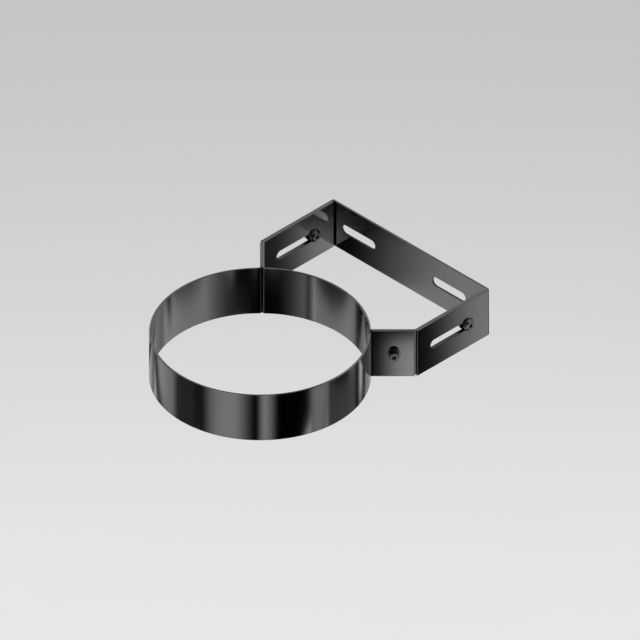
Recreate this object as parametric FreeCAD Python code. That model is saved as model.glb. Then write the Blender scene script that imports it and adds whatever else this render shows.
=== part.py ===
"""Adjustable wall collar for a round flue pipe, folded from flat steel strip.

X runs along the wall, Y towards the wall and Z up the flue. The origin is on the flue's axis, halfway
up the strips. Sizes are in millimetres.
"""

import FreeCAD, Part
import math
import os

from FreeCAD import Vector

# Strip and collar
flue_diameter = 150.0
sheet = 1.5
strip_height = 38.0
edge_round = 0.4
wing_angle = 45.0
ear_fold = 0.3
ear_setback = 0.2

# Arms, from the folds at the collar's wings back to the wall
arm_fold = 0.6
arm_end_gap = 0.4
arm_play = 0.1
saddle_end_gap = 0.5
slot_front_margin = 16.6
slide_travel = 33.0
slot_wall_margin = 21.5
slide_slot_play = 2.0

# Slots for the wall screws, each measured from the outside of the nearer arm
wall_slot_length = 32.0
wall_slot_width = 7.0
wall_slot_margin_left = 10.0
wall_slot_margin_right = 22.9

# Clamp screws through the ears and wings
clamp_thread = 4.0
clamp_head_diameter = 7.0
clamp_head_height = 4.0
clamp_socket_flats = 3.0
clamp_socket_depth = 2.0
clamp_washer_diameter = 9.0
clamp_washer_thickness = 0.8
clamp_spring_diameter = 7.6
clamp_spring_thickness = 0.9
clamp_nut_flats = 7.0
clamp_nut_height = 3.2
clamp_tail = 1.5

# Slide bolts through the slots of the arms
slide_thread = 5.0
slide_head_diameter = 9.5
slide_head_height = 2.75
slide_head_rim = 0.4
slide_head_flat = 6.4
slide_socket_flats = 3.0
slide_socket_depth = 1.6
slide_washer_diameter = 10.0
slide_washer_thickness = 1.0
slide_spring_diameter = 9.2
slide_spring_thickness = 1.2
slide_nut_flats = 8.0
slide_nut_height = 4.0
slide_tail = 1.8

# Fits and small details of the fasteners
hole_play = 0.5
head_round = 0.4
nut_countersink = 0.3
washer_play = 0.3
spring_play = 0.1
washer_round = 0.2
thread_chamfer = 0.6
spring_gap = 1.2
spring_gap_lean = 20.0
nut_chamfer_angle = 30.0
socket_cone_angle = 120.0

# How far cutting shapes reach past what they cut, and what counts as equal
overreach = 0.5
tolerance = 0.01

# Worked out from the sizes above
half_height = strip_height / 2
collar_inner_radius = flue_diameter / 2
collar_outer_radius = collar_inner_radius + sheet
arm_outer_x = collar_outer_radius
fold_radius = arm_outer_x / math.cos(math.radians(wing_angle))
arm_front_y = fold_radius * math.sin(math.radians(wing_angle)) + arm_end_gap
slot_front_y = arm_front_y + slot_front_margin
slot_wall_y = slot_front_y + slide_travel
wall_y = slot_wall_y + slot_wall_margin
saddle_outer_x = arm_outer_x - sheet - arm_play
saddle_inner_x = saddle_outer_x - sheet
saddle_end_y = wall_y - sheet - arm_fold - saddle_end_gap
clamp_radius = (collar_outer_radius + fold_radius) / 2
slide_slot_width = slide_thread + slide_slot_play
cut_depth = 8 * sheet
wing_headings = {"right": wing_angle, "left": 180 - wing_angle}

centre = Vector(0, 0, 0)
up = Vector(0, 0, 1)


def heading_vector(angle):
    """Level unit vector at an angle in degrees from X towards Y."""
    return Vector(math.cos(math.radians(angle)), math.sin(math.radians(angle)), 0)


def turned(point, pivot, angle):
    """The point turned about an upright line through the pivot."""
    return pivot + FreeCAD.Rotation(up, angle).multVec(point - pivot)


def folded_strip(start, heading, moves):
    """Strip on edge whose mid-plane leaves start at the heading. A move is a ("run", length) or a
    ("bend", inside radius, turn), where a turn to the left is positive."""
    left = []
    right = []
    point = start
    for kind, size, *turns in moves:
        across = heading_vector(heading + 90)
        edge = across * (sheet / 2)
        if kind == "run":
            end = point + heading_vector(heading) * size
            left.append(Part.makeLine(point + edge, end + edge))
            right.append(Part.makeLine(point - edge, end - edge))
            point = end
        else:
            turn = turns[0]
            pivot = point + across * math.copysign(size + sheet / 2, turn)
            for edges, first in ((left, point + edge), (right, point - edge)):
                middle = turned(first, pivot, turn / 2)
                edges.append(Part.Arc(first, middle, turned(first, pivot, turn)).toShape())
            point = turned(point, pivot, turn)
            heading += turn
    caps = [
        Part.makeLine(left[0].firstVertex().Point, right[0].firstVertex().Point),
        Part.makeLine(left[-1].lastVertex().Point, right[-1].lastVertex().Point),
    ]
    outline = Part.Wire(Part.sortEdges(left + right + caps)[0])
    solid = Part.Face(outline).extrude(up * strip_height)
    solid.translate(up * -half_height)
    return solid


def softened(strip):
    """The strip with its long edges, its ends and the rims of its openings rounded."""
    rims = []
    for edge in strip.Edges:
        upright = edge.BoundBox.ZLength > strip_height - tolerance
        through = abs(edge.Length - sheet) < tolerance
        if not upright and not through:
            rims.append(edge)
    for face in strip.Faces:
        flat = face.Surface.TypeId == "Part::GeomPlane"
        if flat and abs(face.Area - sheet * strip_height) < tolerance:
            rims.extend(face.Edges)
    return strip.makeFillet(edge_round, rims)


def placed(shape, origin, outward):
    """The shape with its own Z turned to the outward direction and its own origin moved to origin."""
    moved = shape.copy()
    moved.Placement = FreeCAD.Placement(origin, FreeCAD.Rotation(up, outward))
    return moved


def slot_cutter(length, width):
    """Round-ended bar along X that cuts a slot through a strip facing Y, centred on the origin."""
    radius = width / 2
    reach = length / 2 - radius
    top = Part.makeLine(Vector(-reach, 0, radius), Vector(reach, 0, radius))
    bottom = Part.makeLine(Vector(reach, 0, -radius), Vector(-reach, 0, -radius))
    ends = [
        Part.Arc(
            Vector(side * reach, 0, side * radius),
            Vector(side * (reach + radius), 0, 0),
            Vector(side * reach, 0, -side * radius),
        ).toShape()
        for side in (1, -1)
    ]
    bar = Part.Face(Part.Wire([top, ends[0], bottom, ends[1]])).extrude(Vector(0, cut_depth, 0))
    bar.translate(Vector(0, -cut_depth / 2, 0))
    return bar


def arm_slots():
    """Cutters for the slots along both arms."""
    length = slide_travel + slide_slot_width
    cutters = []
    for side in (1, -1):
        bar = slot_cutter(length, slide_slot_width)
        bar.rotate(centre, up, 90)
        bar.translate(Vector(side * (arm_outer_x - sheet), (slot_front_y + slot_wall_y) / 2, 0))
        cutters.append(bar)
    return cutters


def wing_holes():
    """Cutters for the clamp screws' holes."""
    radius = (clamp_thread + hole_play) / 2
    cutters = []
    for angle in wing_headings.values():
        hole = Part.makeCylinder(radius, cut_depth, up * (-cut_depth / 2))
        cutters.append(placed(hole, heading_vector(angle) * clamp_radius, heading_vector(angle + 90)))
    return cutters


def wall_slots():
    """Cutters for the two slots in the wall plate."""
    half_slot = wall_slot_length / 2
    left_x = -arm_outer_x + wall_slot_margin_left + half_slot
    right_x = arm_outer_x - wall_slot_margin_right - half_slot
    cutters = []
    for x in (left_x, right_x):
        bar = slot_cutter(wall_slot_length, wall_slot_width)
        bar.translate(Vector(x, wall_y - sheet / 2, 0))
        cutters.append(bar)
    return cutters


def make_front_band():
    """Band round the front of the flue, with an ear turned out at each end."""
    fold_centre = collar_outer_radius + ear_fold
    lean = math.degrees(math.asin(ear_fold / fold_centre))
    ear_end = fold_radius - sheet - ear_setback
    ear = ear_end - math.sqrt(fold_centre**2 - ear_fold**2)
    left = wing_headings["left"]
    start = heading_vector(left) * ear_end + heading_vector(left - 90) * (sheet / 2)
    moves = [
        ("run", ear),
        ("bend", ear_fold, lean - 90),
        ("bend", collar_inner_radius, 180 + 2 * (wing_angle - lean)),
        ("bend", ear_fold, lean - 90),
        ("run", ear),
    ]
    band = folded_strip(start, left + 180, moves)
    return softened(band.cut(wing_holes()))


def make_saddle():
    """Rear of the collar, with a wing behind each ear and an arm folded back from each wing."""
    wing_back = 2 * sheet
    fold_centre = collar_outer_radius + ear_fold
    lean = math.degrees(math.asin((wing_back + ear_fold) / fold_centre))
    wing_start = math.sqrt(fold_centre**2 - (wing_back + ear_fold) ** 2)
    arm_x = saddle_outer_x - sheet / 2
    wing_middle = wing_back - sheet / 2
    outward = heading_vector(wing_angle)
    corner_radius = (arm_x + wing_middle * outward.y) / outward.x
    corner_y = corner_radius * outward.y + wing_middle * outward.x
    fold_turn = 90 - wing_angle
    tangent = (arm_fold + sheet / 2) * math.tan(math.radians(fold_turn / 2))
    arm = ("run", saddle_end_y - corner_y - tangent)
    wing = ("run", corner_radius - tangent - wing_start)
    arm_bend = ("bend", arm_fold, -fold_turn)
    wing_bend = ("bend", ear_fold, lean - 90)
    cradle = ("bend", collar_inner_radius, 180 - 2 * (wing_angle + lean))
    moves = [arm, arm_bend, wing, wing_bend, cradle, wing_bend, wing, arm_bend, arm]
    saddle = folded_strip(Vector(arm_x, saddle_end_y, 0), 270, moves)
    return softened(saddle.cut(wing_holes() + arm_slots()))


def make_wall_bracket():
    """Wall plate with an arm folded forward at each end, outside the saddle's arms."""
    arm_x = arm_outer_x - sheet / 2
    tangent = arm_fold + sheet / 2
    arm = ("run", wall_y - sheet / 2 - tangent - arm_front_y)
    corner = ("bend", arm_fold, 90)
    plate = ("run", 2 * (arm_x - tangent))
    bracket = folded_strip(Vector(arm_x, arm_front_y, 0), 90, [arm, corner, plate, corner, arm])
    return softened(bracket.cut(arm_slots() + wall_slots()))


def hexagon(flats, height):
    """Upright hexagonal prism standing on the origin."""
    corner = flats / math.sqrt(3)
    points = [heading_vector(60 * i) * corner for i in range(7)]
    return Part.Face(Part.makePolygon(points)).extrude(up * height)


def turned_solid(profile):
    """Solid turned about Z from a closed profile of (radius, height) points."""
    points = [Vector(radius, 0, height) for radius, height in profile]
    face = Part.Face(Part.makePolygon(points + points[:1]))
    return face.revolve(centre, up, 360)


def hex_socket(flats, depth, top):
    """Cutter for a hexagonal socket with a drilled bottom and a broken rim."""
    prism = hexagon(flats, depth)
    prism.translate(up * (top - depth))
    radius = flats / 2
    drill = radius / math.tan(math.radians(socket_cone_angle / 2))
    point = Part.makeCone(0, radius, drill, up * (top - depth - drill))
    corner = flats / math.sqrt(3)
    rim = Part.makeCone(radius, corner, corner - radius, up * (top - corner + radius))
    return prism.fuse([point, rim])


def threaded_shank(thread, length):
    """Shank below the head's seat at the origin, with a chamfered tip."""
    radius = thread / 2
    tip = radius - thread_chamfer
    profile = [(0, 0), (radius, 0), (radius, thread_chamfer - length), (tip, -length), (0, -length)]
    return turned_solid(profile)


def cap_screw(thread, head, socket, length):
    """Cap screw with its seat at the origin and its head above it. The head is a (diameter, height), and
    the hexagonal socket in it a (width across flats, depth)."""
    diameter, height = head
    flats, depth = socket
    body = Part.makeCylinder(diameter / 2, height)
    crown = [edge for edge in body.Edges if edge.BoundBox.ZMin > height / 2]
    screw = body.makeFillet(head_round, crown).fuse(threaded_shank(thread, length))
    return screw.cut(hex_socket(flats, depth, height))


def dome_screw(length):
    """Dome-head slide bolt with its seat at the origin and its head above it."""
    rim = Vector(slide_head_diameter / 2, 0, slide_head_rim)
    flat = Vector(slide_head_flat / 2, 0, slide_head_height)
    dome_centre = up * ((rim.Length**2 - flat.Length**2) / (2 * (rim.z - flat.z)))
    halfway = (rim + flat) * 0.5 - dome_centre
    crown = dome_centre + halfway * ((rim - dome_centre).Length / halfway.Length)
    edges = [
        Part.makeLine(centre, Vector(rim.x, 0, 0)),
        Part.makeLine(Vector(rim.x, 0, 0), rim),
        Part.Arc(rim, crown, flat).toShape(),
        Part.makeLine(flat, Vector(0, 0, flat.z)),
        Part.makeLine(Vector(0, 0, flat.z), centre),
    ]
    head = Part.Face(Part.Wire(edges)).revolve(centre, up, 360)
    screw = head.fuse(threaded_shank(slide_thread, length))
    return screw.cut(hex_socket(slide_socket_flats, slide_socket_depth, slide_head_height))


def plain_washer(thread, diameter, thickness):
    """Flat washer standing on the origin, with its upper outer edge rolled over."""
    ring = Part.makeCylinder(diameter / 2, thickness)
    upper = [edge for edge in ring.Edges if edge.BoundBox.ZMin > thickness / 2]
    ring = ring.makeFillet(washer_round, upper)
    return ring.cut(Part.makeCylinder((thread + washer_play) / 2, thickness))


def spring_washer(thread, diameter, thickness):
    """Split lock washer as it lies pressed flat, standing on the origin."""
    ring = Part.makeCylinder(diameter / 2, thickness)
    ring = ring.cut(Part.makeCylinder((thread + spring_play) / 2, thickness))
    split = Part.makeBox(diameter, spring_gap, 3 * thickness, Vector(0, -spring_gap / 2, -thickness))
    split.rotate(Vector(0, 0, thickness / 2), Vector(1, 0, 0), spring_gap_lean)
    return ring.cut(split)


def hex_nut(thread, flats, height):
    """Hexagonal nut standing on the origin, chamfered on both faces, with a countersunk bore."""
    slope = math.tan(math.radians(nut_chamfer_angle))
    inner = flats / 2
    outer = flats / math.sqrt(3) + overreach
    drop = (outer - inner) * slope
    body = [(0, 0), (inner, 0), (outer, drop), (outer, height - drop), (inner, height), (0, height)]
    nut = hexagon(flats, height).common(turned_solid(body))
    bore = thread / 2
    lip = bore + nut_countersink
    sunk = nut_countersink
    hole = [(0, 0), (lip, 0), (bore, sunk), (bore, height - sunk), (lip, height), (0, height)]
    return nut.cut(turned_solid(hole))


def save(name, shape):
    """Writes one sub-part as parts/NAME.step."""
    shape.exportStep(f"parts/{name}.step")


def save_stack(prefix, side, seat, outward, pieces):
    """Writes a fastener's pieces. Each is a (name, shape, height of its foot above the seat)."""
    for name, shape, height in pieces:
        save(f"{prefix}_{name}_{side}", placed(shape, seat + outward * height, outward))


def save_clamp_fasteners():
    """Cap screw, washers and nut through each ear and the wing behind it."""
    grip = 2 * sheet
    below = clamp_washer_thickness + clamp_spring_thickness + clamp_nut_height
    length = clamp_washer_thickness + grip + below + clamp_tail
    head = (clamp_head_diameter, clamp_head_height)
    socket = (clamp_socket_flats, clamp_socket_depth)
    washer = plain_washer(clamp_thread, clamp_washer_diameter, clamp_washer_thickness)
    spring = spring_washer(clamp_thread, clamp_spring_diameter, clamp_spring_thickness)
    nut = hex_nut(clamp_thread, clamp_nut_flats, clamp_nut_height)
    washer_foot = -grip - clamp_washer_thickness
    spring_foot = washer_foot - clamp_spring_thickness
    pieces = [
        ("screw", cap_screw(clamp_thread, head, socket, length), clamp_washer_thickness),
        ("head_washer", washer, 0),
        ("nut_washer", washer, washer_foot),
        ("spring_washer", spring, spring_foot),
        ("nut", nut, spring_foot - clamp_nut_height),
    ]
    for side, outward_turn in (("right", -90), ("left", 90)):
        angle = wing_headings[side]
        seat = heading_vector(angle) * clamp_radius
        save_stack("clamp", side, seat, heading_vector(angle + outward_turn), pieces)


def save_slide_fasteners():
    """Dome-head bolt, washers and nut at the wall end of each arm's slots, heads towards +X."""
    grip = 2 * sheet + arm_play
    length = grip + slide_washer_thickness + slide_spring_thickness + slide_nut_height + slide_tail
    washer_foot = -grip - slide_washer_thickness
    spring_foot = washer_foot - slide_spring_thickness
    washer = plain_washer(slide_thread, slide_washer_diameter, slide_washer_thickness)
    spring = spring_washer(slide_thread, slide_spring_diameter, slide_spring_thickness)
    nut = hex_nut(slide_thread, slide_nut_flats, slide_nut_height)
    pieces = [
        ("bolt", dome_screw(length), 0),
        ("washer", washer, washer_foot),
        ("spring_washer", spring, spring_foot),
        ("nut", nut, spring_foot - slide_nut_height),
    ]
    for side, seat_x in (("right", arm_outer_x), ("left", -saddle_inner_x)):
        save_stack("slide", side, Vector(seat_x, slot_wall_y, 0), Vector(1, 0, 0), pieces)


os.makedirs("parts", exist_ok=True)
save("wall_bracket", make_wall_bracket())
save("pipe_saddle", make_saddle())
save("front_band", make_front_band())
save_clamp_fasteners()
save_slide_fasteners()
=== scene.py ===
import math

import bpy
from mathutils import Matrix, Vector


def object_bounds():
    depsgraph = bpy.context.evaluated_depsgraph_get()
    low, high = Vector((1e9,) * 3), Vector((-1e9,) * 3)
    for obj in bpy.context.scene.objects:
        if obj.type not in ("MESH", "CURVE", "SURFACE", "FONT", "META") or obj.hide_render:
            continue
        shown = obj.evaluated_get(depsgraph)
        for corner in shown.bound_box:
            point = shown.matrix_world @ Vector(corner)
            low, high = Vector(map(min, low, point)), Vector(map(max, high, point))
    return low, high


# Looks of the flue wall collar: black strips and blackened fasteners, in a small studio of cards and lamps.
# Everything is in metres, in the part's own frame: X along the wall, Y towards the wall, Z up the flue.

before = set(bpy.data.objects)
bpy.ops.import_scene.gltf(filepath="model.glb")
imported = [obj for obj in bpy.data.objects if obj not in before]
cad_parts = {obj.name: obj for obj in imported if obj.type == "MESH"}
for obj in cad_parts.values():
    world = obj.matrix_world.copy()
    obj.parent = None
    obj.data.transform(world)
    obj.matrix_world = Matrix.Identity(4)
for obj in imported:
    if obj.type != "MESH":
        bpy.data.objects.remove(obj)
cad_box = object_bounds()

# Photograph: its size, its scale and the pixel where the ring's upper rim has its centre
photo_pixels = 640
pixels_per_metre = 1451.0
ring_centre_pixel = (260.0, 331.4)
view_azimuth = 45.0
view_elevation = math.degrees(math.atan(1 / math.sqrt(2)))
camera_distance = 2.0

# Part: height of its upper edges, and place across and back of the two seams between band and saddle
rim_height = cad_box[1][2]
seam_place = 0.0535

# Black lacquer: its two tones, the painted highlight along its long edges and the painted shade beside its
# seams, each with the reach that it fades over
lacquer_tones = ((0.070, 0.070, 0.072, 1.0), (0.090, 0.090, 0.092, 1.0))
painted_edge_highlight_tone = 0.16
painted_edge_highlight_depths = (0.0007, 0.0001)
painted_seam_shade_tone = 0.015
seam_shade = (0.0010, 0.0032)
hairline_scale = 900.0
hairline_stretch = 0.01
cloud_scale = 38.0
pore_scale = 2600.0

# Blackened steel: its two tones and the size of its grain
steel_tones = ((0.085, 0.085, 0.088, 1.0), (0.13, 0.13, 0.132, 1.0))
speckle_scale = 1400.0
steel_cloud_scale = 220.0

# Studio: distances of the card walls from the flue's axis, and how far they reach up and down
front_wall = 0.13
side_wall = 0.30
back_wall = 0.30
wall_top = 0.06
lid_height = 0.40
lid_back = -0.42
wall_bottom = -0.44
floor_height = -0.50
floor_reach = 8.0
floor_far = -1.20
floor_near = -0.30
floor_greys = (0.78, 0.98)
card_gap = 0.002
fade_height = 0.015

# Flag below the part: its place to the left, its reach towards the camera, where it clears, and its height
flag_place = -0.05
flag_reach = (-0.175, -0.061)
flag_fade = -0.149
flag_low = -0.125
flag_high = -0.030

# Room light and overhead lamp
room_strength = 0.5
room_seen_extra = 0.4
lamp_size = 1.6
lamp_energy = 20.0
lamp_near = 0.3
lamp_height = 1.6


class Value:
    """Shader socket that Python expressions are written with."""

    def __init__(self, sheet, socket):
        self.sheet = sheet
        self.socket = socket

    def __add__(self, other):
        return self.sheet.maths("ADD", self, other)

    def __radd__(self, other):
        return self.sheet.maths("ADD", other, self)

    def __sub__(self, other):
        return self.sheet.maths("SUBTRACT", self, other)

    def __rsub__(self, other):
        return self.sheet.maths("SUBTRACT", other, self)

    def __mul__(self, other):
        return self.sheet.maths("MULTIPLY", self, other)

    def __rmul__(self, other):
        return self.sheet.maths("MULTIPLY", other, self)

    def __abs__(self):
        return self.sheet.maths("ABSOLUTE", self)


class Sheet:
    """Node tree of one material or of the world."""

    def __init__(self, tree):
        self.tree = tree
        self.tree.nodes.clear()

    def node(self, kind, settings=None, **inputs):
        """Adds a node: first its settings, then the values or links of its inputs."""
        made = self.tree.nodes.new(kind)
        for name, setting in (settings or {}).items():
            setattr(made, name, setting)
        for name, content in inputs.items():
            key = int(name[1:]) if name[1:].isdigit() else name.replace("_", " ")
            socket = made.inputs[key]
            if isinstance(content, Value):
                self.tree.links.new(content.socket, socket)
            else:
                socket.default_value = content
        return made

    def value(self, made, output=0):
        return Value(self, made.outputs[output])

    def maths(self, operation, first, second=0.0):
        return self.value(self.node("ShaderNodeMath", {"operation": operation}, _0=first, _1=second))

    def rise(self, content, start, end):
        """Smooth step from 0 at start to 1 at end."""
        return self.value(
            self.node(
                "ShaderNodeMapRange",
                {"interpolation_type": "SMOOTHSTEP"},
                Value=content,
                From_Min=start,
                From_Max=end,
            )
        )

    def place(self):
        return self.value(self.node("ShaderNodeTexCoord"), "Object")

    def scaled(self, vector, factors):
        return self.value(
            self.node("ShaderNodeVectorMath", {"operation": "MULTIPLY"}, _0=vector, _1=factors)
        )

    def noise(self, vector, scale, detail=2.0, roughness=0.5):
        settings = {"Vector": vector, "Scale": scale, "Detail": detail, "Roughness": roughness}
        return self.value(self.node("ShaderNodeTexNoise", None, **settings))

    def blend(self, factor, first, second):
        """Colour between two colours."""
        mixed = self.node("ShaderNodeMix", {"data_type": "RGBA"}, _0=factor, _6=first, _7=second)
        return self.value(mixed, 2)


def new_material(name):
    material = bpy.data.materials.new(name)
    material.use_nodes = True
    return material, Sheet(material.node_tree)


def grey(level):
    return (level, level, level, 1.0)


def make_black_strip_finish():
    """Black lacquer on strip, with faint upright hairlines, a painted highlight along the long edges and
    painted shade beside the seams.
    """
    material, sheet = new_material("black_lacquer")
    place = sheet.place()
    hairlines = sheet.noise(sheet.scaled(place, (1.0, 1.0, hairline_stretch)), hairline_scale, 3.0)
    clouds = sheet.noise(place, cloud_scale, 3.0)
    pores = sheet.noise(place, pore_scale, 1.0)
    axes = sheet.node("ShaderNodeSeparateXYZ", None, Vector=place)
    height = abs(sheet.value(axes, "Z"))
    deep, shallow = painted_edge_highlight_depths
    # Painted highlight: the lacquer turns lighter in a thin band along the upper and lower long edges.
    painted_edge_highlight = sheet.rise(height, rim_height - deep, rim_height - shallow)
    tone = sheet.blend(hairlines, *lacquer_tones)
    colour = sheet.blend(painted_edge_highlight, tone, grey(painted_edge_highlight_tone))
    level = sheet.node("ShaderNodeCombineXYZ", None, X=abs(sheet.value(axes, "X")), Y=sheet.value(axes, "Y"))
    seam = (seam_place, seam_place, 0.0)
    gap = sheet.node("ShaderNodeVectorMath", {"operation": "DISTANCE"}, _0=sheet.value(level), _1=seam)
    # Painted shade: the lacquer turns near black beside the two seams between band and saddle.
    colour = sheet.blend(sheet.rise(sheet.value(gap, "Value"), *seam_shade), grey(painted_seam_shade_tone), colour)
    roughness = 0.10 + 0.04 * hairlines + 0.03 * clouds + 0.06 * painted_edge_highlight
    bump = sheet.node(
        "ShaderNodeBump", None, Strength=0.12, Distance=0.00004, Height=pores * 0.4 + hairlines * 0.6
    )
    shader = sheet.node(
        "ShaderNodeBsdfPrincipled",
        None,
        Base_Color=colour,
        Metallic=1.0,
        Roughness=roughness,
        Normal=sheet.value(bump),
    )
    sheet.node("ShaderNodeOutputMaterial", None, Surface=sheet.value(shader))
    return material


def make_blackened_steel_finish():
    """Oiled black oxide on turned steel, a little lighter than the strips."""
    material, sheet = new_material("blackened_steel")
    place = sheet.place()
    speckle = sheet.noise(place, speckle_scale, 3.0)
    clouds = sheet.noise(place, steel_cloud_scale, 2.0)
    colour = sheet.blend(clouds, *steel_tones)
    bump = sheet.node("ShaderNodeBump", None, Strength=0.25, Distance=0.00005, Height=speckle)
    shader = sheet.node(
        "ShaderNodeBsdfPrincipled",
        None,
        Base_Color=colour,
        Metallic=1.0,
        Roughness=0.24 + 0.1 * speckle,
        Normal=sheet.value(bump),
    )
    sheet.node("ShaderNodeOutputMaterial", None, Surface=sheet.value(shader))
    return material


def dress(obj, material):
    obj.data.materials.clear()
    obj.data.materials.append(material)


def finish_nodes():
    """Gives each sub-part from model.glb its finish: the three strips the lacquer, every other one the
    blackened steel.
    """
    strips = make_black_strip_finish()
    fasteners = make_blackened_steel_finish()
    for name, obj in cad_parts.items():
        dress(obj, strips if name in ("front_band", "pipe_saddle", "wall_bracket") else fasteners)


# Directions of the photograph's view: level to the right, level towards the camera, and the line of sight
azimuth = math.radians(view_azimuth)
elevation = math.radians(view_elevation)
rightward = Vector((math.cos(azimuth), math.sin(azimuth), 0.0))
nearward = Vector((math.sin(azimuth), -math.cos(azimuth), 0.0))
upward = Vector((0.0, 0.0, 1.0))
sight = nearward * math.cos(elevation) + upward * math.sin(elevation)
picture_up = upward * math.cos(elevation) - nearward * math.sin(elevation)


def place_camera():
    """Level-drawn view without perspective, as in the photograph."""
    camera = bpy.data.cameras.new("camera")
    camera.type = "ORTHO"
    camera.ortho_scale = photo_pixels / pixels_per_metre
    across = (photo_pixels / 2 - ring_centre_pixel[0]) / pixels_per_metre
    above = (ring_centre_pixel[1] - photo_pixels / 2) / pixels_per_metre
    target = upward * rim_height + rightward * across + picture_up * above
    holder = bpy.data.objects.new("camera", camera)
    axes = Matrix((rightward, picture_up, sight)).transposed()
    holder.matrix_world = Matrix.Translation(target + sight * camera_distance) @ axes.to_4x4()
    bpy.context.scene.collection.objects.link(holder)
    bpy.context.scene.camera = holder


def seen_only_in_gloss(obj):
    """Cards show as reflections in the part, and nowhere else."""
    obj.visible_camera = False
    obj.visible_diffuse = False
    obj.visible_shadow = False
    obj.visible_transmission = False
    obj.visible_volume_scatter = False


def sheet_mesh(name, corners, material):
    """One four-cornered sheet whose UV runs from 0 to 1 along it and up it."""
    mesh = bpy.data.meshes.new(name)
    mesh.from_pydata(corners, [], [(0, 1, 2, 3)])
    layer = mesh.uv_layers.new(name="across")
    for loop, spot in zip(layer.data, ((0, 0), (1, 0), (1, 1), (0, 1))):
        loop.uv = spot
    mesh.materials.append(material)
    obj = bpy.data.objects.new(name, mesh)
    bpy.context.scene.collection.objects.link(obj)
    return obj


walls = {
    "front": (nearward * front_wall, rightward),
    "right": (rightward * side_wall, nearward),
    "left": (rightward * -side_wall, nearward),
    "back": (nearward * -back_wall, rightward),
}


def wall_corners(wall, start, end, low, high, inset=0.0):
    """Corners of a sheet on a card wall, from start to end along it and from low to high."""
    base, along = walls[wall]
    base = base * (1 - inset / base.length)
    return [base + along * x + upward * z for x, z in ((start, low), (end, low), (end, high), (start, high))]


def level_corners(left, right, far, near, height):
    """Corners of a level sheet, as the camera sees it."""
    spots = ((left, far), (right, far), (right, near), (left, near))
    return [rightward * u + nearward * w + upward * height for u, w in spots]


def make_card_material():
    material, sheet = new_material("black_card")
    dark = sheet.node("ShaderNodeEmission", None, Color=grey(0.0), Strength=0.0)
    sheet.node("ShaderNodeOutputMaterial", None, Surface=sheet.value(dark))
    return material


def hang_black_cards():
    """Black cards on four sides, below and above, which keep the strips' reflections dark."""
    material = make_card_material()
    for wall in walls:
        across = wall in ("front", "back")
        start, end = (-side_wall, side_wall) if across else (-back_wall, front_wall)
        top = lid_height if wall == "front" else wall_top
        corners = wall_corners(wall, start, end, wall_bottom, top)
        seen_only_in_gloss(sheet_mesh("card_" + wall, corners, material))
    corners = level_corners(-side_wall, side_wall, -back_wall, front_wall, wall_bottom)
    seen_only_in_gloss(sheet_mesh("card_below", corners, material))
    corners = level_corners(-side_wall, side_wall, lid_back, front_wall, lid_height)
    seen_only_in_gloss(sheet_mesh("card_above", corners, material))


def hang_plate_flag():
    """Soft-edged black flag that shades the wall plate's reflection towards its left end."""
    material, sheet = new_material("black_flag")
    spot = sheet.node(
        "ShaderNodeSeparateXYZ", None, Vector=sheet.value(sheet.node("ShaderNodeTexCoord"), "UV")
    )
    along = sheet.value(spot, "X")
    start, end = flag_reach
    clear = sheet.rise(along, (flag_fade - start) / (end - start), 1.0)
    pane = sheet.node("ShaderNodeBsdfTransparent", None)
    sheet.tree.links.new(sheet.blend(clear, grey(0.0), grey(1.0)).socket, pane.inputs["Color"])
    sheet.node("ShaderNodeOutputMaterial", None, Surface=sheet.value(pane))
    spots = ((start, flag_low), (end, flag_low), (end, flag_high), (start, flag_high))
    corners = [rightward * flag_place + nearward * w + upward * z for w, z in spots]
    seen_only_in_gloss(sheet_mesh("plate_flag", corners, material))


def make_glow_material(name, glow, fade_start, fade_end, fade_low, fade_high):
    """Light of a soft box that fades out over the given shares of its length and height."""
    material, sheet = new_material(name)
    spot = sheet.node(
        "ShaderNodeSeparateXYZ", None, Vector=sheet.value(sheet.node("ShaderNodeTexCoord"), "UV")
    )
    along = sheet.value(spot, "X")
    up = sheet.value(spot, "Y")
    strength = glow * sheet.rise(along, 0.0, fade_start) * sheet.rise(1 - along, 0.0, fade_end)
    strength = strength * sheet.rise(up, 0.0, fade_low) * sheet.rise(1 - up, 0.0, fade_high)
    light = sheet.node("ShaderNodeEmission", None, Strength=strength)
    clear = sheet.node("ShaderNodeBsdfTransparent")
    both = sheet.node("ShaderNodeAddShader", None, _0=sheet.value(light), _1=sheet.value(clear))
    sheet.node("ShaderNodeOutputMaterial", None, Surface=sheet.value(both))
    return material


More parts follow.
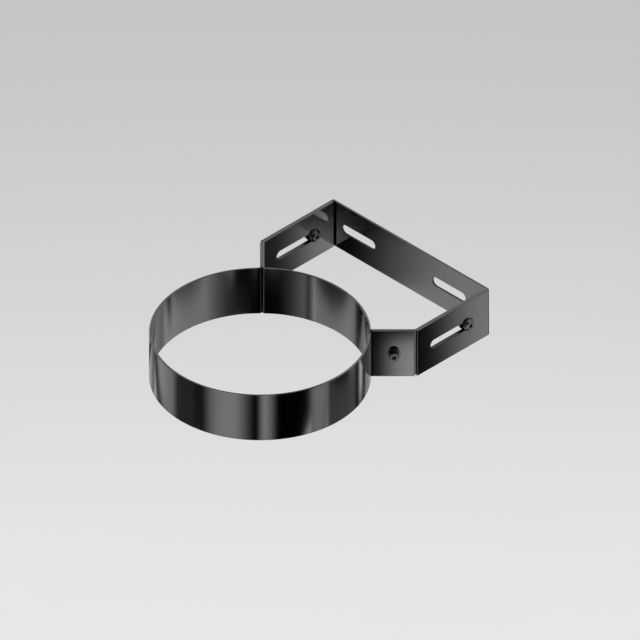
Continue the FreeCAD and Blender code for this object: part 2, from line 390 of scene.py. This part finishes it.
# Soft boxes on the card walls: wall, start and end along it, low and high edge, glow, fades at start and end.
# The left corner's is aimed at the rays that both arm and plate mirror, so it is far stronger.
soft_boxes = {
    "band_left": ("front", -0.170, -0.007, -0.125, 0.050, 2.0, 0.105, 0.042),
    "band_middle": ("front", -0.006, 0.031, -0.125, 0.050, 2.0, 0.014, 0.024),
    "band_right": ("front", 0.097, 0.300, -0.150, 0.050, 1.55, 0.045, 0.030),
    "wing_right": ("front", 0.080, 0.124, -0.150, -0.070, 2.6, 0.020, 0.012),
    "dim_front": ("front", -0.300, -0.140, -0.215, -0.070, 0.08, 0.002, 0.040),
    "inner_left": ("front", 0.050, 0.300, -0.440, -0.135, 1.60, 0.250, 0.002),
    "inner_right": ("front", -0.200, -0.050, -0.440, -0.128, 0.95, 0.002, 0.150),
    "inner_far": ("front", -0.300, -0.195, -0.440, -0.200, 1.45, 0.002, 0.090),
    "arm_right": ("right", -0.085, -0.006, -0.158, -0.060, 1.85, 0.025, 0.042),
    "side_right": ("right", -0.095, 0.130, -0.240, -0.146, 0.40, 0.030, 0.002),
    "arm_left": ("right", -0.195, -0.116, -0.225, -0.146, 2.1, 0.035, 0.036),
    "deep_right": ("right", -0.190, 0.130, -0.440, -0.226, 1.8, 0.050, 0.020),
    "deep_right_far": ("right", -0.300, -0.140, -0.440, -0.262, 1.6, 0.060, 0.050),
    "corner_left": ("front", 0.0470, 0.078, -0.242, -0.187, 19.0, 0.003, 0.004),
    "side_left": ("left", -0.270, 0.034, -0.208, -0.120, 1.30, 0.170, 0.050),
    "dim_left": ("left", 0.000, 0.130, -0.208, -0.120, 0.17, 0.040, 0.002),
    "deep_left": ("left", -0.300, 0.130, -0.440, -0.232, 1.75, 0.060, 0.002),
    "back_left": ("back", -0.260, -0.100, -0.200, 0.050, 1.2, 0.040, 0.040),
    "back_middle": ("back", -0.020, 0.040, -0.200, 0.050, 1.6, 0.015, 0.015),
    "back_right": ("back", 0.110, 0.290, -0.200, 0.050, 1.2, 0.060, 0.040),
    "back_deep": ("back", -0.300, 0.300, -0.330, -0.200, 0.55, 0.090, 0.002),
    "high_right": ("right", -0.250, -0.120, -0.110, 0.050, 1.4, 0.050, 0.030),
    "high_left": ("left", -0.200, -0.030, -0.100, 0.050, 1.4, 0.050, 0.050),
}


def hang_soft_boxes():
    """Soft boxes whose reflections are the grey bands of the strips."""
    for place, (name, box) in enumerate(soft_boxes.items()):
        wall, start, end, low, high, glow, fade_start, fade_end = box
        length = end - start
        share = fade_height / (high - low)
        material = make_glow_material(name, glow, fade_start / length, fade_end / length, share, share)
        corners = wall_corners(wall, start, end, low, high, card_gap * (1 + place) / 2)
        seen_only_in_gloss(sheet_mesh("box_" + name, corners, material))


def lay_floor():
    """Plain pale floor, well below the part, a little greyer towards the far side."""
    material, sheet = new_material("pale_floor")
    axes = sheet.node("ShaderNodeSeparateXYZ", None, Vector=sheet.place())
    near = sheet.value(axes, "X") * nearward.x + sheet.value(axes, "Y") * nearward.y
    tone = sheet.blend(sheet.rise(near, floor_far, floor_near), grey(floor_greys[0]), grey(floor_greys[1]))
    surface = sheet.node("ShaderNodeBsdfDiffuse", None, Color=tone)
    sheet.node("ShaderNodeOutputMaterial", None, Surface=sheet.value(surface))
    spots = ((-floor_reach, -floor_reach), (floor_reach, -floor_reach))
    spots += ((floor_reach, floor_reach), (-floor_reach, floor_reach))
    sheet_mesh("floor", [Vector((x, y, floor_height)) for x, y in spots], material)


def light_world():
    """Even pale surroundings."""
    world = bpy.data.worlds.new("pale_room")
    world.use_nodes = True
    bpy.context.scene.world = world
    sheet = Sheet(world.node_tree)
    path = sheet.node("ShaderNodeLightPath")
    seen = sheet.maths("MAXIMUM", sheet.value(path, "Is Camera Ray"), sheet.value(path, "Is Glossy Ray"))
    seen = sheet.maths("MAXIMUM", seen, sheet.value(path, "Is Transmission Ray"))
    strength = room_strength + room_seen_extra * seen
    light = sheet.node("ShaderNodeBackground", None, Color=grey(1.0), Strength=strength)
    sheet.node("ShaderNodeOutputWorld", None, Surface=sheet.value(light))


def hang_lamp():
    """One large soft lamp overhead."""
    lamp = bpy.data.lights.new("overhead", "AREA")
    lamp.shape = "RECTANGLE"
    lamp.size = lamp_size
    lamp.size_y = lamp_size
    lamp.energy = lamp_energy
    holder = bpy.data.objects.new("overhead", lamp)
    holder.location = nearward * lamp_near + upward * lamp_height
    holder.visible_camera = False
    bpy.context.scene.collection.objects.link(holder)


bpy.context.scene.view_settings.view_transform = "Standard"
finish_nodes()
place_camera()
hang_black_cards()
hang_soft_boxes()
hang_plate_flag()
lay_floor()
light_world()
hang_lamp()
